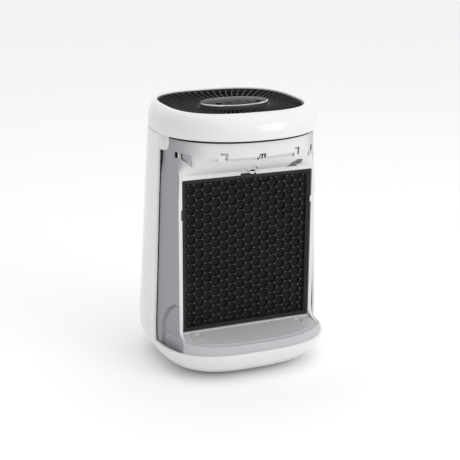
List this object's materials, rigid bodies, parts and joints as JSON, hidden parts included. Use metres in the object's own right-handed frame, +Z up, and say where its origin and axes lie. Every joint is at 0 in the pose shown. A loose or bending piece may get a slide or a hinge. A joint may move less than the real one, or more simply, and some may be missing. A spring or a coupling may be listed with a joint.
{
  "type": "air purifier",
  "caption": "Floor-standing air purifier with its front cover off: tapered white shell, honeycomb filter cartridge, radial fan, dished outlet grille and oval console.",
  "frame": {"origin": "on the floor, under the middle of the object's plan", "axes": "+Z up, front faces -Y, +X to the right seen from the front"},
  "size_m": [0.35, 0.325, 0.52],
  "materials": {
    "white_gloss": "polished moulded ABS",
    "white_satin": "fine satin moulding",
    "grey_deck": "fine satin moulding",
    "black_grille": "semi-gloss moulding",
    "black_lens": "mirror polished",
    "silver_trim": "satin plated",
    "key_grey": "satin",
    "dark_plastic": "satin",
    "filter_frame": "satin moulding",
    "carbon": "granular",
    "media": "pleated fibre",
    "rubber": "matt",
    "duct_white": "as moulded",
    "impeller_grey": "glass-filled",
    "steel": "ground",
    "brass": "turned",
    "motor_paint": "powder coat",
    "zinc": "zinc plated",
    "board": "solder mask"
  },
  "bodies": {
    "body": {"outer_shell": "white_satin", "bottom_cover": "dark_plastic", "foot_pads": "rubber", "base_deck": "grey_deck", "deck_plate": "grey_deck", "front_housing": "white_satin", "fascia": "white_satin", "cover_catches": "white_satin", "top_band": "white_gloss", "top_grille": "black_grille", "console_base": "black_grille", "console_trim": "silver_trim", "console_lens": "black_lens", "key_board": "board", "key_domes": "steel", "sensor_grille": "dark_plastic", "sensor_module": "dark_plastic", "cover_switch": "dark_plastic", "fan_guard": "dark_plastic", "inlet_ring": "duct_white", "scroll_front": "duct_white", "scroll_rear": "duct_white", "outlet_duct": "duct_white", "motor_body": "motor_paint", "motor_bearings": "steel", "motor_mount": "zinc", "motor_screws": "steel", "board_box": "duct_white", "main_board": "board", "board_cover": "duct_white", "grip_cup": "white_satin", "cord_gland": "rubber", "case_screws": "steel"},
    "filter": {"filter_frame": "filter_frame", "carbon_grid": "filter_frame", "carbon_bed": "carbon", "pleated_media": "media", "filter_gasket": "rubber"},
    "fan": {"impeller": "impeller_grey", "motor_shaft": "steel", "hub_nut": "brass"},
    "switch_plunger": {"switch_plunger": "dark_plastic"},
    "key_power": {"key_power": "key_grey"},
    "key_speed": {"key_speed": "key_grey"},
    "key_mode": {"key_mode": "key_grey"},
    "key_timer": {"key_timer": "key_grey"},
    "key_light": {"key_light": "key_grey"}
  },
  "joints": [
    {"name": "fan_spin", "type": "hinge", "parent": "body", "child": "fan", "pos_m": [0, 0.02, 0.237], "axis": [0, 1, 0], "continuous": true},
    {"name": "filter_pull", "type": "slide", "parent": "body", "child": "filter", "axis": [0, -1, 0], "range_m": [0, 0.13]},
    {"name": "plunger_press", "type": "slide", "parent": "body", "child": "switch_plunger", "axis": [0, 1, 0], "range_m": [0, 0.003], "stiffness_N_per_m": 200},
    {"name": "key_power_press", "type": "slide", "parent": "body", "child": "key_power", "axis": [0, 0, -1], "range_m": [0, 0.0008], "stiffness_N_per_m": 900, "springref_m": -0.0004},
    {"name": "key_speed_press", "type": "slide", "parent": "body", "child": "key_speed", "axis": [0, 0, -1], "range_m": [0, 0.0008], "stiffness_N_per_m": 900, "springref_m": -0.0004},
    {"name": "key_mode_press", "type": "slide", "parent": "body", "child": "key_mode", "axis": [0, 0, -1], "range_m": [0, 0.0008], "stiffness_N_per_m": 900, "springref_m": -0.0004},
    {"name": "key_timer_press", "type": "slide", "parent": "body", "child": "key_timer", "axis": [0, 0, -1], "range_m": [0, 0.0008], "stiffness_N_per_m": 900, "springref_m": -0.0004},
    {"name": "key_light_press", "type": "slide", "parent": "body", "child": "key_light", "axis": [0, 0, -1], "range_m": [0, 0.0008], "stiffness_N_per_m": 900, "springref_m": -0.0004}
  ]
}
